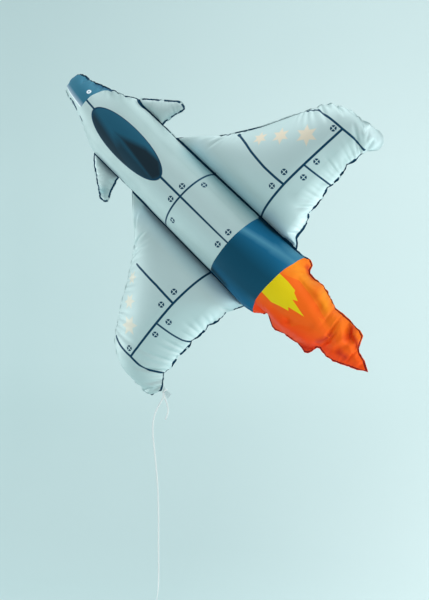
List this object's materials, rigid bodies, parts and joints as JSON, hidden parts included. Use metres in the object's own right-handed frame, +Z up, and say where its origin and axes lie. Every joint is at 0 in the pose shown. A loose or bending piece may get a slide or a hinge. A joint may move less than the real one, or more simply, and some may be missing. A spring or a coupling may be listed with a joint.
{
  "type": "airplane foil balloon",
  "caption": "Inflated foil party balloon shaped as a swept-wing jet with canards and a flame tail, welded edge, filler tab and hanging ribbon.",
  "frame": {"origin": "middle line of the body tube, halfway between the canards and the engine band, in the plane of the weld", "axes": "+Z up as the balloon is held in the picture, -Y out of the printed front, the plane of the weld in XZ; the nose points up and towards -X, the tail down and towards +X, 43 degrees below level, the right wing up and towards +X; the ribbon hangs along -Z"},
  "size_m": [0.9485, 0.1984, 1.594],
  "materials": {
    "pale_foil": "satin printed foil",
    "nose_foil": "satin printed foil",
    "band_foil": "satin printed foil",
    "flame_foil": "satin printed foil",
    "clear_film": "thin milky film",
    "ribbon": "thin curling ribbon"
  },
  "bodies": {
    "root": {"nose_cap_front": "nose_foil", "nose_cap_back": "nose_foil", "body_tube_front": "pale_foil", "body_tube_back": "pale_foil", "engine_band_front": "band_foil", "engine_band_back": "band_foil", "flame_tail_front": "flame_foil", "flame_tail_back": "flame_foil", "right_wing_front": "pale_foil", "right_wing_back": "pale_foil", "left_wing_front": "pale_foil", "left_wing_back": "pale_foil", "right_canard_front": "pale_foil", "right_canard_back": "pale_foil", "left_canard_front": "pale_foil", "left_canard_back": "pale_foil", "filler_tab": "clear_film", "ribbon_knot": "ribbon", "ribbon_tail": "ribbon", "ribbon_strand": "ribbon", "ribbon_coil": "ribbon", "ribbon_tie": "ribbon"}
  },
  "joints": []
}
